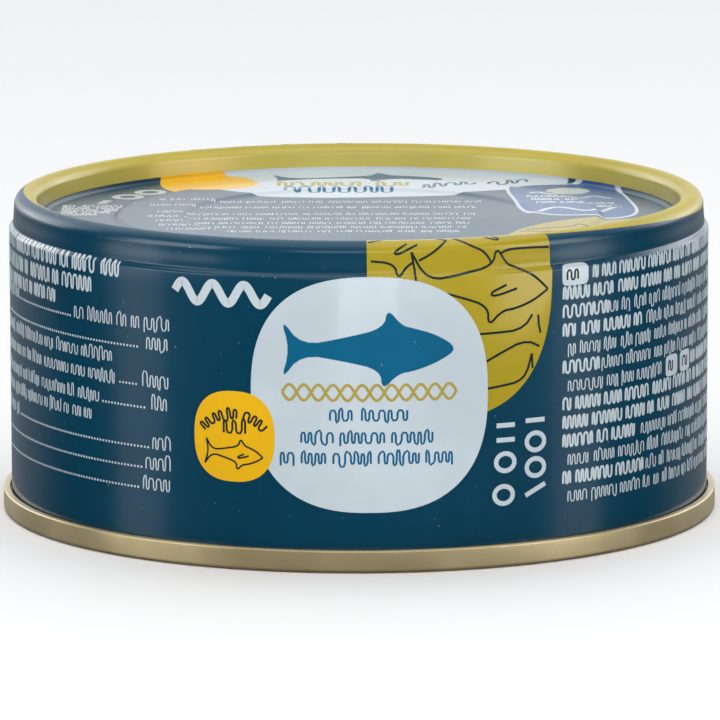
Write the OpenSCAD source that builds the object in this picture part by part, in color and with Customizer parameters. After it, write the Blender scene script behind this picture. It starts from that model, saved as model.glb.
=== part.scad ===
// Drawn food can, stood on its seamed end.
//   body  the printed cup drawn in one piece, its closed end up, full to the end below
//   end   the gold-lacquered end seamed on underneath: double seam, chuck wall and panel
// Millimetres, +Z up. The origin is under the middle of the can, on the face it stands on.

/* [Can] */
// Overall height, from the seam's lower edge to the crest of the rim
can_h = 38; // [30:0.5:60]
// Outside diameter of the wall
can_d = 83.4; // [66:0.2:110]

/* [Rim and shoulder] */
// How far the neck is drawn in from the wall
shoulder_step = 0.6; // [0.3:0.1:1]
// Height of the shoulder's curve between the wall and the neck
shoulder_h = 1; // [0.8:0.1:2]
// Height of the neck, from the shoulder to the crest of the rim
neck_h = 3.6; // [3:0.1:5]
// Radius of the rim's rounded crest
rim_r = 1.4; // [1:0.1:1.8]

/* [Closed end] */
// Depth of the panel's floor below the crest
panel_depth = 3.3; // [3:0.1:4.5]
// How far the rim's inner wall leans in on its way down
rim_lean = 0.25; // [0:0.05:0.6]
// Fillet at the foot of the rim's inner wall
foot_fillet = 0.6; // [0.3:0.1:1]
// Width of the floor between the rim's foot and the raised ring
floor_w = 8.5; // [4:0.5:10]
// Width of the raised ring
ring_w = 9.5; // [4:0.5:12]
// How far the ring stands up from the floor
ring_rise = 0.5; // [0.2:0.1:1]
// How far the middle disc lies below the ring
disc_drop = 0.35; // [0.1:0.05:1]
// Width of each pressed step in the panel
step_w = 1.2; // [0.8:0.1:2]

/* [Seamed end] */
// Height of the double seam
seam_h = 2.65; // [2.4:0.05:3.2]
// How far the seam stands out from the wall
seam_over = 1; // [0.7:0.1:1.4]
// Thickness of the double seam
seam_t = 1.25; // [1.1:0.05:1.6]
// Depth of the fine groove between the seam's top edge and the wall
seam_gap = 0.2; // [0.1:0.05:0.3]
// Fillet of the seam's outer lower edge
seam_fillet = 0.5; // [0.3:0.05:0.6]
// Fillet of the seam's inner lower edge
lip_fillet = 0.35; // [0.2:0.05:0.4]
// Thickness of the end's sheet
end_t = 0.3; // [0.2:0.05:0.4]
// Depth of the countersink, up to the top of its groove
countersink = 3.2; // [2.6:0.1:4]
// How far the chuck wall leans in on its way up
chuck_lean = 0.35; // [0.3:0.05:0.6]
// Radius of the countersink's groove
groove_r = 0.55; // [0.4:0.05:0.8]
// How far the end's panel stands back down from the groove
panel_back = 1; // [0.6:0.1:1.4]
// Width between the groove and the outer bead, and between the two beads
bead_pitch = 9; // [5:0.5:12]
// Width of each half-round bead
bead_w = 2.4; // [1.6:0.1:4]
// How far each bead stands out of the end's panel
bead_h = 0.5; // [0.2:0.1:0.8]

/* [Hidden] */
arc_steps = 8;    // straight lines in each quarter turn of an outline
turn_fn = 180;    // steps round the can
beads = 2;        // beads in the end's panel

wall_r = can_d / 2;
neck_r = wall_r - shoulder_step;
shoulder_z = can_h - neck_h;
crest_z = can_h - rim_r;                    // centre of the crest's curve
foot_r = neck_r - 2 * rim_r - rim_lean;
floor_z = can_h - panel_depth;
ring_z = floor_z + ring_rise;
disc_z = ring_z - disc_drop;
ring_out_r = foot_r - floor_w;
ring_in_r = ring_out_r - ring_w;

seam_r = wall_r + seam_over;
seam_in_r = seam_r - seam_t;
seat_z = seam_h - seam_gap;                 // the wall stands on the seam here
groove_c = seam_in_r - chuck_lean - groove_r;
groove_z = countersink - groove_r;
panel_z = countersink - panel_back;         // outside face of the end's panel

// Points on an arc about c, from angle a to angle b
function arc(c, r, a, b) =
    let (n = max(2, ceil(arc_steps * abs(b - a) / 90)))
    [for (i = [0 : n]) let (t = a + (b - a) * i / n) c + r * [cos(t), sin(t)]];

// Smooth S from p to q that leaves and arrives level
function step_curve(p, q) =
    [for (i = [0 : 2 * arc_steps])
        let (t = i / (2 * arc_steps))
        [p.x + (q.x - p.x) * t, p.y + (q.y - p.y) * (1 - cos(180 * t)) / 2]];

// The same S, leaving and arriving upright
function shoulder_curve(p, q) =
    [for (s = step_curve([p.y, p.x], [q.y, q.x])) [s.y, s.x]];

// One bead that hangs below the level z, from its inner to its outer edge
function bead(r, z) =
    let (bend = (bead_w * bead_w / 4 + bead_h * bead_h) / (2 * bead_h), half = asin(bead_w / 2 / bend))
    arc([r, z + bend - bead_h], bend, -90 - half, -90 + half);

// The end's sheet from the axis to the groove's outer side: its outside face at
// lift 0, and its inside face at lift end_t
function end_sheet(lift) = concat(
    [[0, panel_z + lift]],
    [for (i = [beads : -1 : 1], p = bead(groove_c - groove_r - i * bead_pitch, panel_z + lift)) p],
    [[groove_c - groove_r - lift, panel_z + lift]],
    arc([groove_c, groove_z], groove_r + lift, 180, 0));

// Where the body and the end meet, from the axis out to the wall
function joint_line() = concat(
    end_sheet(end_t),
    [[groove_c + groove_r + end_t, seat_z], [wall_r, seat_z]]);

function reversed(points) = [for (i = [len(points) - 1 : -1 : 0]) points[i]];

// The closed end, from the rim's inner wall to the axis
function panel_line() = concat(
    arc([foot_r - foot_fillet, floor_z + foot_fillet], foot_fillet, 0, -90),
    step_curve([ring_out_r, floor_z], [ring_out_r - step_w, ring_z]),
    step_curve([ring_in_r + step_w, ring_z], [ring_in_r, disc_z]),
    [[0, disc_z]]);

module body() {
    color([0.02, 0.22, 0.31])
    rotate_extrude($fn = turn_fn)
    polygon(concat(
        joint_line(),
        shoulder_curve([wall_r, shoulder_z - shoulder_h], [neck_r, shoulder_z]),
        arc([neck_r - rim_r, crest_z], rim_r, 0, 180),
        panel_line()));
}

module end() {
    color([0.72, 0.64, 0.46])
    rotate_extrude($fn = turn_fn)
    polygon(concat(
        end_sheet(0),
        reversed(arc([seam_in_r + lip_fillet, lip_fillet], lip_fillet, 270, 180)),
        arc([seam_r - seam_fillet, seam_fillet], seam_fillet, -90, 0),
        arc([seam_r - seam_gap, seat_z], seam_gap, 0, 90),
        arc([wall_r + seam_gap, seat_z], seam_gap, 90, 180),
        reversed(joint_line())));
}

body();
end();
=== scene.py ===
"""A drawn tuna can on its gold seamed end: turned metal, with its print laid on as thin films of ink."""
import math
import random

import bpy
from mathutils import Matrix, Vector


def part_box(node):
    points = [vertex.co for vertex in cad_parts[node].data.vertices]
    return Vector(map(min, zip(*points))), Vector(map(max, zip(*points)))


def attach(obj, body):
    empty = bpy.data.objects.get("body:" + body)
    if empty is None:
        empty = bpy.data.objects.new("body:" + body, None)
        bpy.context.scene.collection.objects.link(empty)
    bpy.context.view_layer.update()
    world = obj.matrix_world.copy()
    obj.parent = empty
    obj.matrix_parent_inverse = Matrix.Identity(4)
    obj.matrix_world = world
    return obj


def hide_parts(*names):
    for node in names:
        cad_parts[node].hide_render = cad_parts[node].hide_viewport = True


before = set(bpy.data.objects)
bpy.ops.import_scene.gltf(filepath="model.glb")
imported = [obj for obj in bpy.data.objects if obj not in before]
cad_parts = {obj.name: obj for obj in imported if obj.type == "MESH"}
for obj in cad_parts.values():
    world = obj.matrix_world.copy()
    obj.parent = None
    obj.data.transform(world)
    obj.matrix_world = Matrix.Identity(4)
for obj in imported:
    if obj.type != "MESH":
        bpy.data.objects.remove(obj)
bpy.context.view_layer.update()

# ---------------------------------------------------------------- sizes, in metres
MM = 0.001
TURN = 256                                   # steps round the can

CAN_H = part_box("body")[1].z
WALL_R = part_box("body")[1].x
SEAM_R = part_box("end")[1].x

NECK_R = WALL_R - 0.6 * MM
NECK_FLARE = 0.12 * MM                       # the neck widens towards the shoulder
SHOULDER_Z = CAN_H - 3.5 * MM                # top of the shoulder
SHOULDER_H = 0.7 * MM
RIM_R = 1.4 * MM
CREST_R = NECK_R - RIM_R                     # middle of the crest's curve
CREST_Z = CAN_H - RIM_R
FOOT_R = CREST_R - RIM_R - 0.25 * MM
FOOT_FILLET = 0.6 * MM
FLOOR_Z = CAN_H - 3.3 * MM
RING_Z = FLOOR_Z + 0.5 * MM
DISC_Z = RING_Z - 0.35 * MM
RING_OUT_R = FOOT_R - 8.5 * MM
RING_IN_R = RING_OUT_R - 9.5 * MM
STEP_W = 1.2 * MM                            # width of the panel's two steps
FLOOR_T = 0.4 * MM                           # how deep the floor's underside lies
WALL_T = 1 * MM                              # how deep the wall's inner side lies
RIM_SKIRT = 0.8 * MM                         # how far out the floor's underside goes past the rim's foot

BORDER = 1.385 * MM                          # from the crest out to the line between olive and blue
BORDER_ACROSS = 1.085 * MM                   # how far that line wanders towards the right
BORDER_AWAY = 1.6 * MM                       # and towards the back

SEAM_H = 2.65 * MM
SEAM_T = 1.25 * MM
SEAM_IN_R = SEAM_R - SEAM_T
GROOVE_R = 0.55 * MM
GROOVE_C = SEAM_IN_R - 0.35 * MM - GROOVE_R
GROOVE_Z = 3.2 * MM - GROOVE_R
PANEL_Z = 2.2 * MM                           # outside face of the seamed end's panel
SHEET = 0.3 * MM
SEAM_FILLET = 0.4 * MM                       # inside foot of the seam, and the panel's edge
SEAM_FOOT_FILLET = 0.5 * MM
SEAM_TOP_FILLET = 0.22 * MM
SEAM_LIP_FILLET = 0.16 * MM
SEAM_TUCK = 0.6 * MM                         # how far the seam's folds reach below its top
SEAM_LIP = 0.3 * MM                          # how far off the wall the seam's lip turns down
SEAM_GAP = 0.12 * MM                         # and how far off it ends
SEAM_BITE = 0.2 * MM                         # how far the folds reach in behind the wall
WALL_TUCK = 0.5 * MM                         # how far the wall reaches below the seam's top
BEAD_W = 2.4 * MM
BEAD_H = 0.5 * MM
BEAD_PITCH = 9 * MM

FILM = 0.018 * MM                            # one layer of ink
BURY = 0.03 * MM                             # how far a film reaches into the metal
PANEL_CUT = 0.25 * MM                        # films on the panel are cut this fine to follow its steps
SMOOTH_ANGLE = math.radians(40)

LENS = 334.8                                 # millimetres
CAMERA_PLACE = (0.00012, -0.7908, 0.1548)
CAMERA_PITCH = math.radians(80.14)
CAMERA_ROLL = math.radians(-0.11)


# ---------------------------------------------------------------- outlines, as (radius, height)
def arc(centre, radius, start, stop, steps=12):
    """Points on an arc, angles in degrees."""
    turns = [math.radians(start + (stop - start) * i / steps) for i in range(steps + 1)]
    return [(centre[0] + radius * math.cos(a), centre[1] + radius * math.sin(a)) for a in turns]


def ease(t):
    """A smooth S from 0 to 1."""
    return (1 - math.cos(math.pi * min(max(t, 0), 1))) / 2


def wall_radius(z):
    """Radius of the wall, shoulder and neck at a height."""
    neck = NECK_R + NECK_FLARE * ease((CREST_Z - z) / (CREST_Z - SHOULDER_Z))
    return WALL_R + (neck - WALL_R) * ease((z - SHOULDER_Z + SHOULDER_H) / SHOULDER_H)


def panel_height(radius):
    """Height of the closed end's stepped panel at a radius."""
    up = ease((RING_OUT_R - radius) / STEP_W)
    down = ease((RING_IN_R + STEP_W - radius) / STEP_W)
    return FLOOR_Z + (RING_Z - FLOOR_Z) * up + (DISC_Z - RING_Z) * down


def spread(low, high, count):
    """Even places from low to high, both ends among them."""
    return [low + (high - low) * i / count for i in range(count + 1)]


# ---------------------------------------------------------------- shader nodes
class Value:
    """A socket that takes part in Python expressions."""

    def __init__(self, finish, socket):
        self.finish = finish
        self.socket = socket

    def math(self, operation, *others):
        return self.finish.node("ShaderNodeMath", {"operation": operation}, self, *others)

    def __add__(self, other):
        return self.math("ADD", other)

    def __sub__(self, other):
        return self.math("SUBTRACT", other)

    def __rsub__(self, other):
        return self.finish.node("ShaderNodeMath", {"operation": "SUBTRACT"}, other, self)

    def __mul__(self, other):
        return self.math("MULTIPLY", other)

    def __truediv__(self, other):
        return self.math("DIVIDE", other)

    def __pow__(self, other):
        return self.math("POWER", other)

    __radd__ = __add__
    __rmul__ = __mul__


class Finish:
    """One material, built up from nodes."""

    def __init__(self, name):
        self.material = bpy.data.materials.new(name)
        self.material.use_nodes = True
        self.tree = self.material.node_tree
        self.shader = self.tree.nodes["Principled BSDF"]
        place = self.tree.nodes.new("ShaderNodeTexCoord")
        self.place = Value(self, place.outputs["Object"])

    def node(self, kind, settings=None, *inputs, **named):
        """Adds a node: its settings, then its inputs in order or by name."""
        node = self.tree.nodes.new(kind)
        for key, value in (settings or {}).items():
            setattr(node, key, value)
        for key, value in list(enumerate(inputs)) + list(named.items()):
            self.feed(node.inputs[key.replace("_", " ") if isinstance(key, str) else key], value)
        return Value(self, node.outputs[0])

    def feed(self, socket, value):
        """Links a value to a socket, or sets a constant on it."""
        if isinstance(value, Value):
            self.tree.links.new(value.socket, socket)
        else:
            socket.default_value = value

    def axes(self):
        """The place's x, y and z."""
        parts = self.node("ShaderNodeSeparateXYZ", None, self.place).socket.node
        return [Value(self, out) for out in parts.outputs]

    def noise(self, scale, detail, stretch=(1, 1, 1)):
        """Noise over the piece, at so many cells a metre."""
        place = self.node("ShaderNodeVectorMath", {"operation": "MULTIPLY"}, self.place, stretch)
        return self.node("ShaderNodeTexNoise", None, Vector=place, Scale=scale, Detail=detail,
                         Roughness=0.55)

    def ramp(self, value, low, high):
        """0 below low, 1 above high, smooth between."""
        return self.node("ShaderNodeMapRange", {"interpolation_type": "SMOOTHSTEP", "clamp": True},
                         Value=value, From_Min=low, From_Max=high)

    def mix(self, factor, first, second, blend="MIX"):
        """From the first colour to the second."""
        node = self.tree.nodes.new("ShaderNodeMix")
        node.data_type = "RGBA"
        node.blend_type = blend
        self.feed(node.inputs[0], factor)
        self.feed(node.inputs[6], first)
        self.feed(node.inputs[7], second)
        return Value(self, node.outputs[2])

    def bump(self, height, distance, strength):
        return self.node("ShaderNodeBump", None, Height=height, Distance=distance, Strength=strength)

    def set(self, **values):
        """Feeds the shader's own sockets."""
        for key, value in values.items():
            self.feed(self.shader.inputs[key.replace("_", " ")], value)


def colour(red, green, blue):
    """An sRGB colour, 0 to 255, as the linear one that shaders take."""
    parts = [c / 255 for c in (red, green, blue)]
    return tuple(c / 12.92 if c <= 0.04045 else ((c + 0.055) / 1.055) ** 2.4 for c in parts) + (1,)


OLIVE_ROUND = (38, -22)                      # the panel's round olive field, in millimetres
OLIVE_ROUND_R = 21

BLUE = colour(0, 61, 85)
OLIVE = colour(171, 151, 27)
RIM_OLIVE = colour(176, 159, 30)
PAINTED_REFLECTION_OLIVE = colour(214, 198, 104)           # inside the rim; stands in for reflected light
WHITE = colour(196, 208, 215)
TEAL = colour(0, 98, 136)
YELLOW = colour(236, 182, 10)
DARK = colour(26, 46, 42)
OLIVE_INK = colour(176, 158, 72)
LABEL_BLUE = colour(38, 84, 140)
DUST = colour(190, 200, 205)
GOLD = colour(172, 156, 118)
PALE_GOLD = colour(200, 184, 142)
# painted shade for the seam's foot, next to the floor
FOOT_SHADE_GOLD = colour(120, 92, 62)


def lacquer(finish, tint, roughness=0.17, ior=1.4, scuff=0):
    """Clear lacquer over ink: soft mottle, faint orange peel, drag marks and specks of dust."""
    mottle = finish.noise(90, 4)
    tone = finish.mix(finish.ramp(mottle, 0.3, 0.7), (0.93, 0.93, 0.93, 1), (1.04, 1.04, 1.04, 1))
    printed = finish.mix(1.0, tint, tone, "MULTIPLY")
    specks = finish.ramp(finish.noise(2600, 1), 0.77, 0.81)
    finish.set(Base_Color=finish.mix(specks * 0.35, printed, DUST))
    haze = finish.ramp(finish.noise(30, 5, (1, 1, 0.4)), 0.35, 0.75)
    drag = finish.noise(500, 2, (1, 1, 0.05))
    finish.set(Roughness=roughness + haze * 0.07 + drag * 0.03 + scuff * 0.25, IOR=ior)
    peel = finish.noise(900, 2)
    finish.set(Normal=finish.bump(peel + drag * 0.5, 0.00002, 0.25))


def ink(name, tint):
    """A film of one ink under the lacquer."""
    finish = Finish(name)
    lacquer(finish, tint)
    return finish.material


def printed_wall():
    """Blue print up the wall and over the crest; olive lacquer inside the rim, paled there with a
    painted reflection. The print sits a little off centre, so the line between them wanders across the
    crest."""
    finish = Finish("printed_wall")
    x, y, z = finish.axes()
    radius = (x * x + y * y) ** 0.5
    out = radius - CREST_R
    above = (z - CREST_Z).math("MAXIMUM", 0.0)
    below = (CREST_Z - z).math("MAXIMUM", 0.0)
    round_crest = out.math("ARCTAN2", above) * RIM_R + below * out.math("SIGN")
    border = BORDER + (x * BORDER_ACROSS + y * BORDER_AWAY) / radius
    blue = finish.ramp(round_crest - border, -0.05 * MM, 0.05 * MM)
    scuff = finish.ramp(z, CREST_Z + 0.2 * RIM_R, CREST_Z + 0.9 * RIM_R)
    # Painted reflection: inside the rim the olive is paled towards a lighter olive, standing in for the
    # light the inner wall reflects.
    inside = 1 - finish.ramp(radius, CREST_R - 0.95 * RIM_R, CREST_R - 0.5 * RIM_R)
    olive = finish.mix(inside * 0.75, RIM_OLIVE, PAINTED_REFLECTION_OLIVE)
    lacquer(finish, finish.mix(blue, olive, BLUE), scuff=scuff)
    return finish.material


def squircle_mask(finish, u, v, half_u, half_v, power):
    """1 inside a rounded field about the origin of u and v, 0 outside."""
    reach = (u / half_u).math("ABSOLUTE") ** power + (v / half_v).math("ABSOLUTE") ** power
    return 1 - finish.ramp(reach, 0.98, 1.02)


def leaned(x, y, degrees):
    """x and y as measured on a sheet that leans by an angle."""
    lean = math.radians(degrees)
    return x * math.cos(lean) + y * math.sin(lean), y * math.cos(lean) - x * math.sin(lean)


def printed_panel():
    """The closed end's print: blue ground, a white field, a yellow badge and an edged label."""
    finish = Finish("printed_panel")
    x, y, z = finish.axes()
    u, v = leaned(x, y, 8)
    white = squircle_mask(finish, u - 7 * MM, v - 31 * MM, 23.5 * MM, 16.5 * MM, 2.6)
    tint = finish.mix(white, BLUE, WHITE)
    badge = squircle_mask(finish, u + 14.5 * MM, v - 29 * MM, 6 * MM, 7.5 * MM, 2.5)
    tint = finish.mix(badge, tint, YELLOW)
    u, v = leaned(x - 25.8 * MM, y - 12.3 * MM, 6)
    tint = finish.mix(squircle_mask(finish, u, v, 7.3 * MM, 14.6 * MM, 3.5), tint, WHITE)
    tint = finish.mix(squircle_mask(finish, u, v, 6.9 * MM, 13.9 * MM, 3.5), tint, LABEL_BLUE)
    from_olive = ((x - OLIVE_ROUND[0] * MM) ** 2 + (y - OLIVE_ROUND[1] * MM) ** 2) ** 0.5
    outside = finish.ramp(from_olive, (OLIVE_ROUND_R - 0.1) * MM, (OLIVE_ROUND_R + 0.1) * MM)
    tint = finish.mix(outside, OLIVE, tint)
    lacquer(finish, tint, roughness=0.34, ior=2.2)
    return finish.material


def gold_end():
    """Gold lacquer on tinplate, turned, with fine marks round it."""
    finish = Finish("gold_end")
    x, y, z = finish.axes()
    radius = (x * x + y * y) ** 0.5
    turned_marks = finish.noise(700, 3, (0.1, 0.1, 6.0))
    stain = finish.ramp(finish.noise(60, 4), 0.3, 0.75)
    tint = finish.mix(stain, GOLD, PALE_GOLD)
    # Painted shade: the gold darkens at the seam's outer foot, next to the floor, standing in for the
    # shadowed floor it mirrors.
    foot = 1 - finish.ramp(z, 0.15 * MM, 0.6 * MM)
    foot_shade = foot * finish.ramp(radius, SEAM_IN_R - 0.2 * MM, SEAM_IN_R)
    tint = finish.mix(foot_shade * 0.55, tint, FOOT_SHADE_GOLD)
    finish.set(Base_Color=tint, Metallic=0.5, Roughness=0.3 + stain * 0.1 + turned_marks * 0.06,
               Normal=finish.bump(turned_marks + finish.noise(300, 3) * 0.6, 0.00003, 0.35))
    return finish.material


# ---------------------------------------------------------------- modelling
def clear():
    """Deselects everything."""
    bpy.ops.object.select_all(action="DESELECT")


def pick(piece):
    """Selects one piece alone."""
    clear()
    piece.select_set(True)
    bpy.context.view_layer.objects.active = piece


def joined(pieces):
    """Joins pieces into the first of them."""
    pick(pieces[0])
    for piece in pieces:
        piece.select_set(True)
    if len(pieces) > 1:
        bpy.ops.object.join()
    return bpy.context.object


def turned(name, outline):
    """Spins a loop of (radius, height) points once round the can."""
    clear()
    bpy.ops.mesh.primitive_circle_add(vertices=len(outline))
    piece = bpy.context.object
    for corner, (radius, height) in zip(piece.data.vertices, outline):
        corner.co = (radius, 0, height)
    bpy.ops.object.mode_set(mode="EDIT")
    bpy.ops.mesh.select_all(action="SELECT")
    bpy.ops.mesh.spin(steps=TURN, angle=2 * math.pi, center=(0, 0, 0), axis=(0, 0, 1))
    bpy.ops.mesh.select_all(action="SELECT")
    bpy.ops.mesh.remove_doubles(threshold=0.001 * MM)
    bpy.ops.mesh.delete_loose(use_edges=True)
    bpy.ops.mesh.select_all(action="SELECT")
    bpy.ops.mesh.normals_make_consistent(inside=False)
    bpy.ops.object.mode_set(mode="OBJECT")
    piece.name = name
    return piece


def finished(piece, name, material):
    """Names a piece, gives it its material and smooth faces, and hands it to the frame."""
    pick(piece)
    piece.name = name
    piece.data.name = name
    piece.data.materials.clear()
    piece.data.materials.append(material)
    bpy.ops.object.shade_smooth_by_angle(angle=SMOOTH_ANGLE)
    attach(piece, "root")
    return piece


# ---------------------------------------------------------------- flat artwork, in millimetres
def squircle(centre, half, power=2.5, steps=96):
    """A field with round sides, as on the front of the can."""
    points = []
    for i in range(steps):
        a = 2 * math.pi * (i + 0.5) / steps
        c, s = math.cos(a), math.sin(a)
        points.append((centre[0] + half[0] * math.copysign(abs(c) ** (2 / power), c),
                       centre[1] + half[1] * math.copysign(abs(s) ** (2 / power), s)))
    return points


def ring(centre, half_u, half_v):
    """A closed round line."""
    turns = [2 * math.pi * i / 32 for i in range(33)]
    return [(centre[0] + half_u * math.cos(a), centre[1] + half_v * math.sin(a)) for a in turns]


def softened(points, closed=False, rounds=2):
    """Cuts the corners of a line a few times over, as a hand-drawn line has them."""
    for _ in range(rounds):
        pairs = list(zip(points, points[1:] + points[:1] if closed else points[1:]))
        cut = []
        for (ax, ay), (bx, by) in pairs:
            cut.append((ax * 0.75 + bx * 0.25, ay * 0.75 + by * 0.25))
            cut.append((ax * 0.25 + bx * 0.75, ay * 0.25 + by * 0.75))
        points = cut if closed else [points[0]] + cut[1:-1] + [points[-1]]
    return points


def field(outline):
    """A flat face inside an outline."""
    clear()
    bpy.ops.mesh.primitive_circle_add(vertices=len(outline), fill_type="NGON")
    piece = bpy.context.object
    for corner, (s, t) in zip(piece.data.vertices, outline):
        corner.co = (s * MM, t * MM, 0)
    return piece


def strip(lower, upper, gaps=False):
    """A band between two lines of points; with gaps, every second face is cut away."""
    clear()
    count = len(lower)
    bpy.ops.mesh.primitive_grid_add(x_subdivisions=count - 1, y_subdivisions=1)
    piece = bpy.context.object
    for corner, (s, t) in zip(piece.data.vertices, lower + upper):
        corner.co = (s * MM, t * MM, 0)
    if gaps:
        bpy.ops.object.mode_set(mode="EDIT")
        bpy.ops.mesh.select_mode(type="FACE")
        bpy.ops.mesh.select_all(action="DESELECT")
        bpy.ops.object.mode_set(mode="OBJECT")
        for i, face in enumerate(piece.data.polygons):
            face.select = i % 2 == 1
        bpy.ops.object.mode_set(mode="EDIT")
        bpy.ops.mesh.delete(type="FACE")
        bpy.ops.mesh.select_mode(type="VERT")
        bpy.ops.object.mode_set(mode="OBJECT")
    return piece


def stroke(points, width):
    """A pen line of even width along some points."""
    left, right = [], []
    for i, (x, y) in enumerate(points):
        before = points[max(i - 1, 0)]
        after = points[min(i + 1, len(points) - 1)]
        along = Vector((after[0] - before[0], after[1] - before[1])).normalized()
        left.append((x + along.y * width / 2, y - along.x * width / 2))
        right.append((x - along.y * width / 2, y + along.x * width / 2))
    return strip(left, right)


def scribble(draw, start, end, base, height, bold=False, pen=None, place=None, close=None):
    """A row of upright pen scribbles, word by word, where small print stands. It spells nothing."""
    pen = pen or (0.27 if bold else 0.15)
    stride = height * (close or (0.31 if bold else 0.34))
    at = start
    pens = []
    while at < end - 2 * stride:
        points = []
        count = draw.randint(3, 15)
        if at + (count + 4) * stride > end:
            count = round((end - at) / stride)
        for k in range(count):
            tall = 0.35 if not bold and draw.random() < 0.2 else 0
            deep = 0.3 if not bold and draw.random() < 0.1 else 0
            ends = [(at, base - height * deep), (at, base + height * (1 + tall))]
            points += ends if k % 2 == 0 else ends[::-1]
            at += stride * draw.choice((0.75, 0.85, 0.95, 1.45))
        if len(points) > 4:
            line = softened(points, rounds=2 if bold or place else 1)
            pens.append(stroke([place(*p) for p in line] if place else line, pen))
        at += stride * 1.1
    return pens


def dots(start, end, base, size=0.24, pitch=0.5):
    """A dotted leader line."""
    edges = []
    at = start
    while at < end:
        edges += [at, at + size]
        at += pitch
    return strip([(s, base) for s in edges], [(s, base + size) for s in edges], gaps=True)


# One plain fish, nose at (1, 0) and tail at x = 0
FISH_BACK = [(1, 0), (0.88, 0.085), (0.74, 0.13), (0.68, 0.145), (0.6, 0.25), (0.58, 0.13),
             (0.36, 0.075), (0.12, 0.025), (0, 0.19)]
FISH_BELLY = [(1, 0), (0.9, -0.07), (0.76, -0.125), (0.66, -0.14), (0.57, -0.24), (0.56, -0.115),
              (0.36, -0.065), (0.12, -0.025), (0, -0.19)]
FISH_TAIL = [(0, 0.19), (0.055, 0), (0, -0.19)]
FISH_FIN = [(0.76, 0), (0.6, -0.055), (0.56, -0.035), (0.68, 0.02)]
FISH_OUTLINE = FISH_BACK + FISH_TAIL[1:2] + FISH_BELLY[:0:-1]


def placed(points, nose, length, angle=0, depth=1.0, flip=1):
    """The fish's unit points, laid with its nose at a place and its tail behind."""
    c, s = math.cos(math.radians(angle)), math.sin(math.radians(angle))
    line = []
    for x, y in points:
        u, v = (x - 1) * length, y * length * depth * flip
        line.append((nose[0] + u * c - v * s, nose[1] + u * s + v * c))
    return line


def fish_shape(nose, length, angle=0, depth=1.0):
    """A fish in solid colour."""
    return field(softened(placed(FISH_OUTLINE, nose, length, angle, depth), closed=True))


def enclosed(point, outline):
    """Whether a point is within a closed line."""
    inside = False
    x, y = point
    for (ax, ay), (bx, by) in zip(outline, outline[1:] + outline[:1]):
        if (ay > y) != (by > y) and x < ax + (bx - ax) * (y - ay) / (by - ay):
            inside = not inside
    return inside


def fish_lines(nose, length, width, angle=0, depth=1.0, flip=1, seen=None):
    """A fish drawn in pen lines, kept to where seen(point) is true."""
    pens = []
    for part in (FISH_BACK, FISH_BELLY, FISH_TAIL, FISH_FIN):
        line = softened(placed(part, nose, length, angle, depth, flip))
        run = []
        for point in line + [None]:
            if point and (seen is None or seen(point)):
                run.append(point)
            else:
                if len(run) > 1:
                    pens.append(stroke(run, width))
                run = []
    return pens


# ---------------------------------------------------------------- laying artwork on the metal
def on_wall(s, t, lift):
    """Wraps (distance round, height up the wall) on to the wall, the neck and over the crest."""
    angle = s / WALL_R
    if t <= CREST_Z:
        radius, height = wall_radius(t) + lift, t
    else:
        bend = (t - CREST_Z) / RIM_R
        radius = CREST_R + (RIM_R + lift) * math.cos(bend)
        height = CREST_Z + (RIM_R + lift) * math.sin(bend)
    return Vector((radius * math.sin(angle), -radius * math.cos(angle), height))


def on_panel(s, t, lift):
    """Lays (right, away) on the closed end's panel."""
    return Vector((s, t, panel_height(math.hypot(s, t)) + lift))


def cut_lines(normal, places):
    """Cuts the flat piece in edit mode along straight lines."""
    for place in places:
        bpy.ops.mesh.select_all(action="SELECT")
        bpy.ops.mesh.bisect(plane_co=Vector(normal) * place, plane_no=normal)


def laid(pieces, name, material, layer, surface=on_wall):
    """Joins flat artwork, cuts it where the metal bends, gives it a film's thickness and lays it.
    The wall carries its print twice, front and back."""
    piece = joined(pieces)
    spots = [(corner.co.x, corner.co.y) for corner in piece.data.vertices]
    left, right = min(s for s, t in spots), max(s for s, t in spots)
    low, high = min(t for s, t in spots), max(t for s, t in spots)
    if surface is on_wall:
        pitch = 2 * math.pi * WALL_R / TURN
        across = [i * pitch for i in range(-TURN // 2, TURN // 2)]
        up = spread(SHOULDER_Z - SHOULDER_H, SHOULDER_Z, 8) + spread(SHOULDER_Z, CREST_Z, 4)[1:-1]
        up += spread(CREST_Z, CREST_Z + 2 * RIM_R, 14)
    else:
        reach = math.ceil(FOOT_R / PANEL_CUT)
        across = [i * PANEL_CUT for i in range(-reach, reach + 1)]
        up = across
    bpy.ops.object.mode_set(mode="EDIT")
    cut_lines((1, 0, 0), [c for c in across if left < c < right])
    cut_lines((0, 1, 0), [c for c in up if low < c < high])
    bpy.ops.object.mode_set(mode="OBJECT")
    film = piece.modifiers.new("film", "SOLIDIFY")
    film.thickness = BURY + layer * FILM
    film.offset = 0
    bpy.ops.object.modifier_apply(modifier="film")
    middle = (layer * FILM - BURY) / 2
    for corner in piece.data.vertices:
        s, t, lift = corner.co
        corner.co = surface(s, t, lift + middle)
    bpy.ops.object.mode_set(mode="EDIT")
    bpy.ops.mesh.select_all(action="SELECT")
    bpy.ops.mesh.normals_make_consistent(inside=False)
    if surface is on_wall:
        bpy.ops.mesh.duplicate()
        bpy.ops.transform.rotate(value=math.pi, orient_axis="Z", center_override=(0, 0, 0))
    bpy.ops.object.mode_set(mode="OBJECT")
    return finished(piece, name, material)


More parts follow.
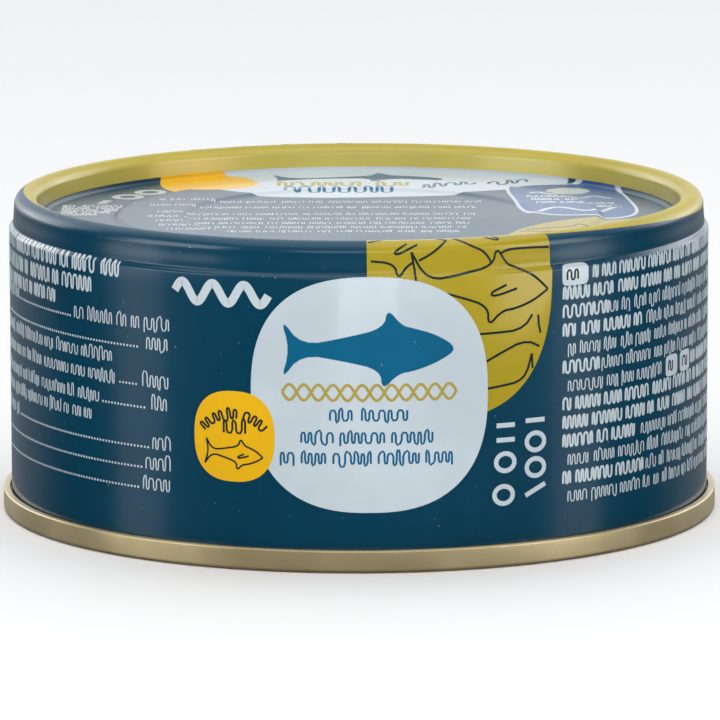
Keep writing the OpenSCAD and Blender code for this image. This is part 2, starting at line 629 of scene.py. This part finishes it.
# ---------------------------------------------------------------- the metal
def drawn_body():
    """Wall, shoulder, neck and rolled rim of the drawn can, with the metal's inner side."""
    wall = [(wall_radius(z), z) for z in spread(SEAM_H - WALL_TUCK, SHOULDER_Z - SHOULDER_H, 16)]
    shoulder = [(wall_radius(z), z) for z in spread(SHOULDER_Z - SHOULDER_H, SHOULDER_Z, 14)][1:]
    neck = [(wall_radius(z), z) for z in spread(SHOULDER_Z, CREST_Z, 8)][1:-1]
    crest = arc((CREST_R, CREST_Z), RIM_R, 0, 180, 36)
    foot = [(FOOT_R, FLOOR_Z + FOOT_FILLET), (FOOT_R, FLOOR_Z - FLOOR_T)]
    inner = [(FOOT_R + RIM_SKIRT, FLOOR_Z - FLOOR_T), (WALL_R - WALL_T, SHOULDER_Z - 2 * SHOULDER_H),
             (WALL_R - WALL_T, SEAM_H - WALL_TUCK)]
    body = turned("drawn_body", wall + shoulder + neck + crest + foot + inner)
    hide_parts("body")
    return finished(body, "drawn_body", printed_wall())


def closed_panel():
    """The closed end: fillet at the rim's foot, floor, raised ring and sunk disc."""
    fillet = arc((FOOT_R - FOOT_FILLET, FLOOR_Z + FOOT_FILLET), FOOT_FILLET, 0, -90, 10)
    radii = spread(FOOT_R - FOOT_FILLET, RING_OUT_R, 6)[1:]
    radii += spread(RING_OUT_R, RING_OUT_R - STEP_W, 14)[1:]
    radii += spread(RING_OUT_R - STEP_W, RING_IN_R + STEP_W, 6)[1:]
    radii += spread(RING_IN_R + STEP_W, RING_IN_R, 14)[1:]
    radii += spread(RING_IN_R, 0, 12)[1:]
    top = [(r, panel_height(r)) for r in radii]
    under = [(0, FLOOR_Z - FLOOR_T), (FOOT_R, FLOOR_Z - FLOOR_T)]
    panel = turned("closed_panel", fillet + top + under)
    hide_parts("body")
    return finished(panel, "closed_panel", printed_panel())


def seamed_end():
    """The gold end: double seam, chuck wall, countersink groove and a panel with two beads."""
    panel_edge = GROOVE_C - GROOVE_R

    def bead(middle):
        return [(middle + BEAD_W * k / 12, PANEL_Z - BEAD_H * (1 + math.cos(math.pi * k / 6)) / 2)
                for k in range(-6, 7)]

    under = [(0, PANEL_Z)] + bead(panel_edge - 2 * BEAD_PITCH) + bead(panel_edge - BEAD_PITCH)
    under += arc((panel_edge - SEAM_FILLET, PANEL_Z + SEAM_FILLET), SEAM_FILLET, -90, 0, 8)
    under += arc((GROOVE_C, GROOVE_Z), GROOVE_R, 180, 0, 16)
    seam = arc((SEAM_IN_R + SEAM_FILLET, SEAM_FILLET), SEAM_FILLET, 180, 270, 10)
    seam += arc((SEAM_R - SEAM_FOOT_FILLET, SEAM_FOOT_FILLET), SEAM_FOOT_FILLET, -90, 0, 12)
    seam += arc((SEAM_R - SEAM_TOP_FILLET, SEAM_H - SEAM_TOP_FILLET), SEAM_TOP_FILLET, 0, 90, 8)
    seam += arc((WALL_R + SEAM_LIP, SEAM_H - SEAM_LIP_FILLET), SEAM_LIP_FILLET, 90, 180, 6)
    seam += [(WALL_R + SEAM_GAP, SEAM_H - SEAM_TUCK), (WALL_R - SEAM_BITE, SEAM_H - SEAM_TUCK)]
    over = [(GROOVE_C + GROOVE_R + SHEET, SEAM_H - SEAM_TUCK)]
    over += arc((GROOVE_C, GROOVE_Z), GROOVE_R + SHEET, 0, 180, 12)
    over += [(panel_edge - SHEET, PANEL_Z + SHEET), (0, PANEL_Z + SHEET)]
    end = turned("seamed_end", under + seam + over)
    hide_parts("end")
    return finished(end, "seamed_end", gold_end())


# ---------------------------------------------------------------- the print
def front_print(white, olive, teal, yellow, dark, olive_ink):
    """The front: olive field of drawn fish, white field with a fish mark, yellow badge, a wave."""
    crest_end = (CREST_Z + RIM_R * (math.pi / 2 + 0.2)) / MM       # just over the crest
    centre, half = (9.5, 34), (13.8, 16.5)
    left = 0.9
    curve = [p for p in squircle(centre, half, steps=160) if p[1] < centre[1] and p[0] > left]
    curve.sort(key=lambda p: math.atan2(p[1] - centre[1], p[0] - centre[0]))
    right = centre[0] + half[0]
    outline = curve + [(right, crest_end - 1.2)] + [(right - 0.8, crest_end), (left, crest_end)]
    laid([field(outline)], "olive_field", olive, 1)

    # each fish: nose, length, angle, depth and which way up, from the nearest back
    shoal = [((22.7, 31.8), 17, -5, 1.1, 1), ((3, 22.6), 20, 194, 1.0, -1),
             ((10.4, 38.2), 15, 8, 1.0, 1), ((9.5, 40.4), 18, 167, 1.0, -1),
             ((7, 16.4), 15.5, 200, 1.0, -1), ((3.5, 31.6), 14, 20, 1.0, 1)]
    inset = squircle(centre, (half[0] - 0.1, half[1] - 0.1))
    nearer = []
    pens = []

    def seen(point):
        if not left + 0.1 < point[0] < right - 0.1 or point[1] > crest_end - 0.3:
            return False
        if point[1] < centre[1] and not enclosed(point, inset):
            return False
        return not any(enclosed(point, outline) for outline in nearer)

    for nose, length, angle, depth, flip in shoal:
        pens += fish_lines(nose, length, 0.27, angle, depth, flip, seen)
        nearer.append(placed(FISH_OUTLINE, nose, length, angle, depth, flip))
    laid(pens, "drawn_fish", dark, 2)

    laid([field(squircle((1.25, 20.5), (13.75, 13.6)))], "white_field", white, 3)
    laid([fish_shape((11.4, 25.7), 20.4, 0, 0.95)], "fish_mark", teal, 4)
    for layer, swing in ((4, 0.9), (5, -0.9)):
        wave = [(-8.8 + i / 6, 20.8 + swing * math.sin(math.pi * i / 10)) for i in range(121)]
        laid([stroke(wave, 0.32)], f"olive_wave_{layer - 3}", olive_ink, layer)
    draw = random.Random(3)
    rows = []
    for start, end, base in ((-3.3, 5.6, 17.6), (-6.6, 8.8, 15.0), (-9, 11.3, 12.6)):
        rows += scribble(draw, start, end, base, 1.15, pen=0.24, close=0.4)
    laid(rows, "teal_rows", teal, 4)

    badge = (-14.6, 15.35)
    bend, sunk = 5.1, 2.6                    # the upper row's curve, centred below the badge's middle
    laid([field(squircle(badge, (4.9, 5.25)))], "yellow_badge", yellow, 4)

    def round_badge(s, t):
        return badge[0] + t * math.sin(s / bend), badge[1] - sunk + t * math.cos(s / bend)

    draw = random.Random(5)
    parts = scribble(draw, -4.2, 4.2, 4.7, 1.0, pen=0.25, place=round_badge, close=0.45)
    parts += scribble(draw, badge[0] - 1.2, badge[0] + 1.6, badge[1] + 0.4, 1.2, pen=0.25, close=0.4)
    parts += fish_lines((badge[0] + 3.5, badge[1] - 2.3), 7.0, 0.2, -4, 1.1)
    laid(parts, "badge_lines", dark, 5)


def side_print(white, dark):
    """Rows of small print round both sides and the back, with dotted leaders and plain tags."""
    draw = random.Random(11)
    rows = []
    far = 64                                 # a row's end on the side, short of the print's repeat
    for end, base, height in ((-29.2, 32.6, 1.7), (-34.6, 30.3, 1.6), (-42, 28.2, 1.4)):
        rows += scribble(draw, -far, end, base, height, True)
    # each row: its height, where its words end, its dotted leader and its figures
    for base, text_end, leader, figures in (
            (26.9, -54, (-53.5, -38.8), (-38, -22.6)), (24.6, None, (-60, -27), (-26, -22.6)),
            (22.6, -31.5, None, None), (20.2, -30.6, (-30.2, -27.4), (-26.6, -22.6)),
            (17.6, -33.4, (-33, -26), (-25.3, -22.6)), (15.4, -34.5, None, None),
            (13.0, -54, (-53.5, -25.8), (-25.2, -22.6)), (10.6, None, (-60, -26.8), (-26.2, -22.6)),
            (8.2, None, (-60, -27.2), (-26.6, -22.6))):
        if text_end:
            rows += scribble(draw, -far, text_end, base, 1.1)
        if leader:
            rows.append(dots(leader[0], leader[1], base))
        if figures:
            rows += scribble(draw, figures[0], figures[1], base, 1.3)
    laid(rows, "left_rows", white, 1)

    rows = []
    start, first, pitch = 24.9, 32.5, 2.15
    tag_row = 6                              # the row that two tags stand in
    for row in range(13):
        base = first - pitch * row
        begin = start + 4.4 if row == 0 else start
        bold_end = (far, far, 31, 38, start, 30, start, far, far, 37, start, 38, start)[row]
        text_end = 42.4 if row == tag_row else far
        if bold_end > begin:
            rows += scribble(draw, begin, bold_end, base, 1.35, True)
        if bold_end < far:
            rows += scribble(draw, max(bold_end + 0.7, begin), text_end, base, 1.15)
    rows += scribble(draw, 50.4, far, first - pitch * tag_row, 1.35, True)
    laid(rows, "right_rows", white, 1)
    tag_places = [(26.6, 33.1, 1.9), (44.5, 20.2, 1.5), (48.3, 20.2, 1.5)]
    laid([field(squircle((s, t), (half, 1.25), 5, 32)) for s, t, half in tag_places], "tags", white, 2)
    lines = []
    for s, t, half in tag_places:
        lines += scribble(draw, s - half + 0.7, s + half - 0.5, t - 0.55, 1.1, pen=0.26, close=0.55)
    laid(lines, "tag_lines", dark, 3)

    rings = [ring(middle, 1.15, 1.0) for middle in ((21.1, 14.2), (21.1, 11.2), (17.2, 12.1), (17, 8.3))]
    bars = [[(19.8, 16.7), (22.3, 16.7)], [(19.8, 8), (22.4, 9.2)], [(16.1, 16.4), (18.4, 16.4)],
            [(16.1, 14.7), (18.4, 14.7)]]
    laid([stroke(line, 0.55) for line in rings + bars], "turned_signs", white, 1)
    wave = [(-22 + 11.6 * i / 90, 31.8 + 1.1 * math.sin(math.pi * i / 15)) for i in range(91)]
    laid([stroke(wave, 1.0)], "white_wave", white, 1)


def panel_print(white, teal, olive_ink, dark):
    """Print on the closed end, laid out like the front, and a label's plain marks."""
    draw = random.Random(31)
    rows = []
    for base, start, end in ((10.5, -24, 15), (6, -25, 14), (0.6, -24, 14), (-3, -25, 13),
                             (-6.5, -24, 13.5), (-9.8, -23.5, 13), (-13, -22.5, 12.5)):
        rows += scribble(draw, start, end, base, 1.2, pen=0.13, close=0.3)
    pieces = [laid(rows, "panel_rows", white, 1, on_panel)]
    pieces.append(laid([fish_shape((11, 31), 22, 0, 1.05)], "panel_fish", teal, 1, on_panel))
    olive_row = scribble(draw, -9.8, 6.5, 22.4, 2.6, pen=0.5)
    pieces.append(laid(olive_row, "panel_olive_row", olive_ink, 1, on_panel))
    rows = []
    for start, end, base, rise in ((-9, 7, 19, 0), (8, 15, 20.5, 0.5), (16, 21, 25, 0.75)):
        rows += scribble(draw, start, end, 0, 2.4, pen=0.4,
                         place=lambda u, v, s=start, b=base, r=rise: (u, b + v + (u - s) * r))
    pieces.append(laid(rows, "panel_teal_rows", teal, 1, on_panel))

    signs = [stroke([(-31.2, 10.9), (-30.4, 13.6)], 1.1)]
    signs += [stroke(ring(centre, 1.5, 1.6), 1.0) for centre in ((-28.1, 16.5), (-25.5, 20.3))]
    for k in range(5):
        signs += scribble(draw, -35.6, -30.6 + k, 1.6 + 1.7 * k, 1.3, True)
    pieces.append(laid(signs, "panel_signs", white, 1, on_panel))

    swell = [(20.8 + i / 4, 15.6 + 0.8 * math.sin(math.pi * i / 7)) for i in range(41)]
    wave = [(21.6 + i / 4, 0.8 + i / 8 + 2.2 * math.sin(math.pi * i / 16)) for i in range(41)]
    disc = field(ring((25.6, 20.6), 2.7, 2.7)[:-1])
    marks = [disc, stroke(swell, 0.7), stroke(wave, 0.8)]
    for start, end, base in ((20.5, 27, 12.4), (21, 31.5, 10), (21.5, 32, 7.6)):
        marks += scribble(draw, start, end, base, 1.1, pen=0.25)
    pieces.append(laid(marks, "label_marks", white, 1, on_panel))

    def seen(point):
        return math.dist(point, OLIVE_ROUND) < OLIVE_ROUND_R - 0.2 and math.hypot(*point) < 37.2

    pens = []
    for nose, length, angle in (((33, -12), 17, 8), ((19.5, -19.5), 16, 190), ((31, -20.5), 15, -10)):
        pens += fish_lines(nose, length, 0.3, angle, 1.0, 1, seen)
    pieces.append(laid(pens, "panel_fish_lines", dark, 1, on_panel))
    return pieces


def softbox(name, azimuth, width, low, high, radiance, reach=0.9):
    """A panel of light that the can sees so many degrees round from the front, wide and high."""
    turn, middle = math.radians(azimuth), math.radians((low + high) / 2)
    light = bpy.data.lights.new(name, "AREA")
    light.shape = "RECTANGLE"
    light.size = 2 * reach * math.tan(math.radians(width / 2))
    light.size_y = 2 * reach * math.tan(math.radians((high - low) / 2))
    light.energy = radiance * math.pi * light.size * light.size_y
    lamp = bpy.data.objects.new(name, light)
    bpy.context.collection.objects.link(lamp)
    lamp.location = Vector((math.sin(turn) * math.cos(middle), -math.cos(turn) * math.cos(middle),
                            math.sin(middle))) * reach
    lamp.rotation_euler = (-lamp.location).to_track_quat("-Z", "Y").to_euler()
    return lamp


def backdrop():
    """Light from all round: bright behind the can, dark before it, and dimmer below the horizon."""
    world = bpy.data.worlds.new("studio")
    bpy.context.scene.world = world
    world.use_nodes = True
    tree = world.node_tree
    place = tree.nodes.new("ShaderNodeTexCoord")
    parts = tree.nodes.new("ShaderNodeSeparateXYZ")
    tree.links.new(place.outputs["Generated"], parts.inputs[0])
    product = tree.nodes.new("ShaderNodeMath")
    product.operation = "MULTIPLY"
    bands = (("Y", 0.3, 0.75, 0.04, 1.5), ("Z", -0.14, 0.04, 0.18, 1.0))
    for (axis, start, end, low, high), factor in zip(bands, product.inputs):
        ramp = tree.nodes.new("ShaderNodeMapRange")
        ramp.interpolation_type = "SMOOTHSTEP"
        for socket, value in (("From Min", start), ("From Max", end), ("To Min", low), ("To Max", high)):
            ramp.inputs[socket].default_value = value
        tree.links.new(parts.outputs[axis], ramp.inputs["Value"])
        tree.links.new(ramp.outputs[0], factor)
    tree.links.new(product.outputs[0], tree.nodes["Background"].inputs["Strength"])
    tree.nodes["Background"].inputs["Color"].default_value = (0.93, 0.96, 1.0, 1)


def stage(panel_pieces):
    """Pale floor, soft lights and the camera. The highlight lights leave the panel alone."""
    clear()
    bpy.ops.mesh.primitive_plane_add(size=6)
    floor = bpy.context.object
    floor.name = "floor"
    pale = Finish("floor")
    paint = pale.mix(pale.noise(3, 2), (0.84, 0.84, 0.84, 1), (0.87, 0.87, 0.87, 1))
    pale.set(Base_Color=paint, Roughness=0.9)
    floor.data.materials.append(pale.material)
    floor.visible_glossy = False             # the metal mirrors the studio, not the floor

    # azimuth, width, lower and upper edge in degrees, then radiance and how far off
    shine = [softbox("front_box", 0, 40, 10, 26, 2.8), softbox("crest_box", 180, 68, 60, 120, 1.6, 2.5)]
    for side, name in ((-1, "left"), (1, "right")):
        shine.append(softbox(name + "_box", side * 63, 34, 3, 30, 4.8))
        shine.append(softbox(name + "_low_box", side * 74.5, 19, -40, -3, 1.0))
        shine.append(softbox(name + "_mid_box", side * 78, 22, -3, 6, 2.5))
        shine.append(softbox(name + "_rear_box", side * 130, 34, 6, 34, 2.5))
    left_alone = bpy.data.collections.new("left_alone")
    for piece in panel_pieces:
        left_alone.objects.link(piece)
    for link in left_alone.collection_objects:
        link.light_linking.link_state = "EXCLUDE"
    for lamp in shine:
        lamp.visible_diffuse = False         # these only make the highlights
        lamp.light_linking.receiver_collection = left_alone
    softbox("fill_box", 0, 70, 5, 60, 1.7).visible_glossy = False
    softbox("top_box", 180, 68, 60, 120, 1.8, 2.2).visible_glossy = False

    backdrop()

    lens = bpy.data.cameras.new("camera")
    lens.lens = LENS
    lens.clip_start = 0.01
    camera = bpy.data.objects.new("camera", lens)
    bpy.context.collection.objects.link(camera)
    camera.matrix_world = (Matrix.Translation(CAMERA_PLACE) @ Matrix.Rotation(CAMERA_PITCH, 4, "X")
                           @ Matrix.Rotation(CAMERA_ROLL, 4, "Z"))
    bpy.context.scene.camera = camera
    bpy.context.scene.view_settings.view_transform = "Standard"


drawn_body()
panel_pieces = [closed_panel()]
seamed_end()
white = ink("white_ink", WHITE)
teal = ink("teal_ink", TEAL)
dark = ink("dark_ink", DARK)
olive_ink = ink("olive_ink", OLIVE_INK)
front_print(white, ink("olive_lacquer", OLIVE), teal, ink("yellow_ink", YELLOW), dark, olive_ink)
side_print(white, dark)
panel_pieces += panel_print(white, teal, olive_ink, dark)
stage(panel_pieces)
